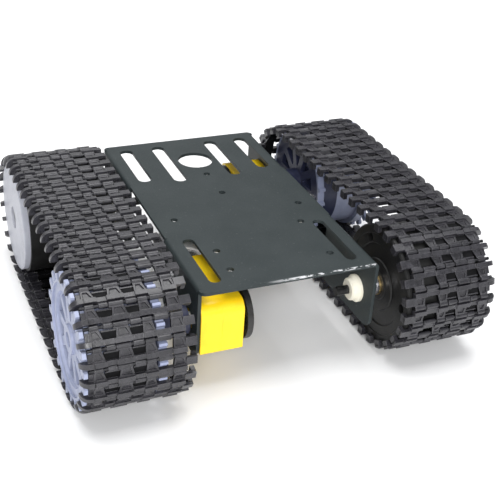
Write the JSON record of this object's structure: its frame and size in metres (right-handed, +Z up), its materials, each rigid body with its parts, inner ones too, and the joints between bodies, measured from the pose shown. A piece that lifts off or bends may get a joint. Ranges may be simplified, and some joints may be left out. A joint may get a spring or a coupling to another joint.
{
  "type": "tracked robot chassis",
  "caption": "Tracked robot chassis with a slotted sheet metal deck, geared motors driving spoked sprockets, smooth idler wheels and moulded link tracks.",
  "frame": {"origin": "on the floor, under the middle of the bounding box", "axes": "+X across the tracks, +Y from the front of the deck to the rear, +Z up"},
  "size_m": [0.1842, 0.1638, 0.0598],
  "materials": {
    "bushing": "sintered bronze",
    "can": "plated steel",
    "cap": "pale moulded plastic",
    "dark_bolt": "black oxide",
    "encoder": "black moulded plastic",
    "gear": "natural nylon",
    "housing": "saturated yellow moulded plastic",
    "idler": "light grey moulded plastic",
    "idler_back": "dark moulded plastic",
    "nylon": "cream nylon",
    "pinion": "machined",
    "plate": "matte dark slate coating",
    "rotor": "laminated core",
    "sprocket": "lavender blue grey moulded plastic",
    "steel": "plated steel",
    "strap": "pale moulded plastic",
    "terminal": "bare metal",
    "track": "dark charcoal moulded plastic, satin",
    "track_pin": "bright wire"
  },
  "bodies": {
    "chassis": {"chassis_plate": "plate", "left_track_links": "track", "left_track_pins": "track_pin", "left_gearbox_base": "housing", "left_gearbox_cover": "housing", "left_gearbox_screws": "steel", "left_gear_pins": "steel", "left_motor_can": "can", "left_motor_end_cap": "cap", "left_motor_strap": "strap", "left_motor_terminals": "terminal", "left_motor_screws": "steel", "left_motor_nuts": "steel", "left_idler_bolt": "dark_bolt", "left_idler_nuts": "nylon", "left_idler_washers": "steel", "right_track_links": "track", "right_track_pins": "track_pin", "right_gearbox_base": "housing", "right_gearbox_cover": "housing", "right_gearbox_screws": "steel", "right_gear_pins": "steel", "right_motor_can": "can", "right_motor_end_cap": "cap", "right_motor_strap": "strap", "right_motor_terminals": "terminal", "right_motor_screws": "steel", "right_motor_nuts": "steel", "right_idler_bolt": "dark_bolt", "right_idler_nuts": "nylon", "right_idler_washers": "steel"},
    "left_sprocket": {"left_sprocket_outer": "sprocket", "left_sprocket_inner": "sprocket", "left_sprocket_screws": "steel", "left_hub_screw": "steel", "left_output_shaft": "gear", "left_encoder_disc": "encoder"},
    "left_idler": {"left_idler_outer": "idler", "left_idler_inner": "idler_back", "left_idler_screws": "steel", "left_idler_bushings": "bushing"},
    "left_reduction": {"left_reduction_gear": "gear"},
    "left_crown": {"left_crown_gear": "gear"},
    "left_rotor": {"left_motor_rotor": "rotor", "left_motor_pinion": "pinion"},
    "right_sprocket": {"right_sprocket_outer": "sprocket", "right_sprocket_inner": "sprocket", "right_sprocket_screws": "steel", "right_hub_screw": "steel", "right_output_shaft": "gear", "right_encoder_disc": "encoder"},
    "right_idler": {"right_idler_outer": "idler", "right_idler_inner": "idler_back", "right_idler_screws": "steel", "right_idler_bushings": "bushing"},
    "right_reduction": {"right_reduction_gear": "gear"},
    "right_crown": {"right_crown_gear": "gear"},
    "right_rotor": {"right_motor_rotor": "rotor", "right_motor_pinion": "pinion"}
  },
  "joints": [
    {"name": "left_sprocket_spin", "type": "hinge", "parent": "chassis", "child": "left_sprocket", "pos_m": [-0.0745, -0.05233, 0.02988], "axis": [1, 0, 0], "continuous": true, "deforming": ["left_track_links", "left_track_pins"]},
    {"name": "left_idler_spin", "type": "hinge", "parent": "chassis", "child": "left_idler", "pos_m": [-0.069, 0.05233, 0.02988], "axis": [1, 0, 0], "continuous": true},
    {"name": "left_reduction_spin", "type": "hinge", "parent": "chassis", "child": "left_reduction", "pos_m": [-0.0291, -0.04032, 0.02988], "axis": [1, 0, 0], "continuous": true},
    {"name": "left_crown_spin", "type": "hinge", "parent": "chassis", "child": "left_crown", "pos_m": [-0.0291, -0.03033, 0.02988], "axis": [1, 0, 0], "continuous": true},
    {"name": "left_rotor_spin", "type": "hinge", "parent": "chassis", "child": "left_rotor", "pos_m": [-0.0291, -0.01033, 0.02988], "axis": [0, 1, 0], "continuous": true},
    {"name": "right_sprocket_spin", "type": "hinge", "parent": "chassis", "child": "right_sprocket", "pos_m": [0.0745, 0.05233, 0.02988], "axis": [1, 0, 0], "continuous": true, "deforming": ["right_track_links", "right_track_pins"]},
    {"name": "right_idler_spin", "type": "hinge", "parent": "chassis", "child": "right_idler", "pos_m": [0.069, -0.05233, 0.02988], "axis": [1, 0, 0], "continuous": true},
    {"name": "right_reduction_spin", "type": "hinge", "parent": "chassis", "child": "right_reduction", "pos_m": [0.0291, 0.04032, 0.02988], "axis": [1, 0, 0], "continuous": true},
    {"name": "right_crown_spin", "type": "hinge", "parent": "chassis", "child": "right_crown", "pos_m": [0.0291, 0.03033, 0.02988], "axis": [1, 0, 0], "continuous": true},
    {"name": "right_rotor_spin", "type": "hinge", "parent": "chassis", "child": "right_rotor", "pos_m": [0.0291, 0.01033, 0.02988], "axis": [0, 1, 0], "continuous": true}
  ],
  "couplings": [
    {"joint": "left_idler_spin", "follows": "left_sprocket_spin", "ratio": 1},
    {"joint": "left_reduction_spin", "follows": "left_sprocket_spin", "ratio": -4},
    {"joint": "left_crown_spin", "follows": "left_sprocket_spin", "ratio": 16},
    {"joint": "left_rotor_spin", "follows": "left_sprocket_spin", "ratio": 48},
    {"joint": "right_idler_spin", "follows": "right_sprocket_spin", "ratio": 1},
    {"joint": "right_reduction_spin", "follows": "right_sprocket_spin", "ratio": -4},
    {"joint": "right_crown_spin", "follows": "right_sprocket_spin", "ratio": 16},
    {"joint": "right_rotor_spin", "follows": "right_sprocket_spin", "ratio": 48}
  ]
}
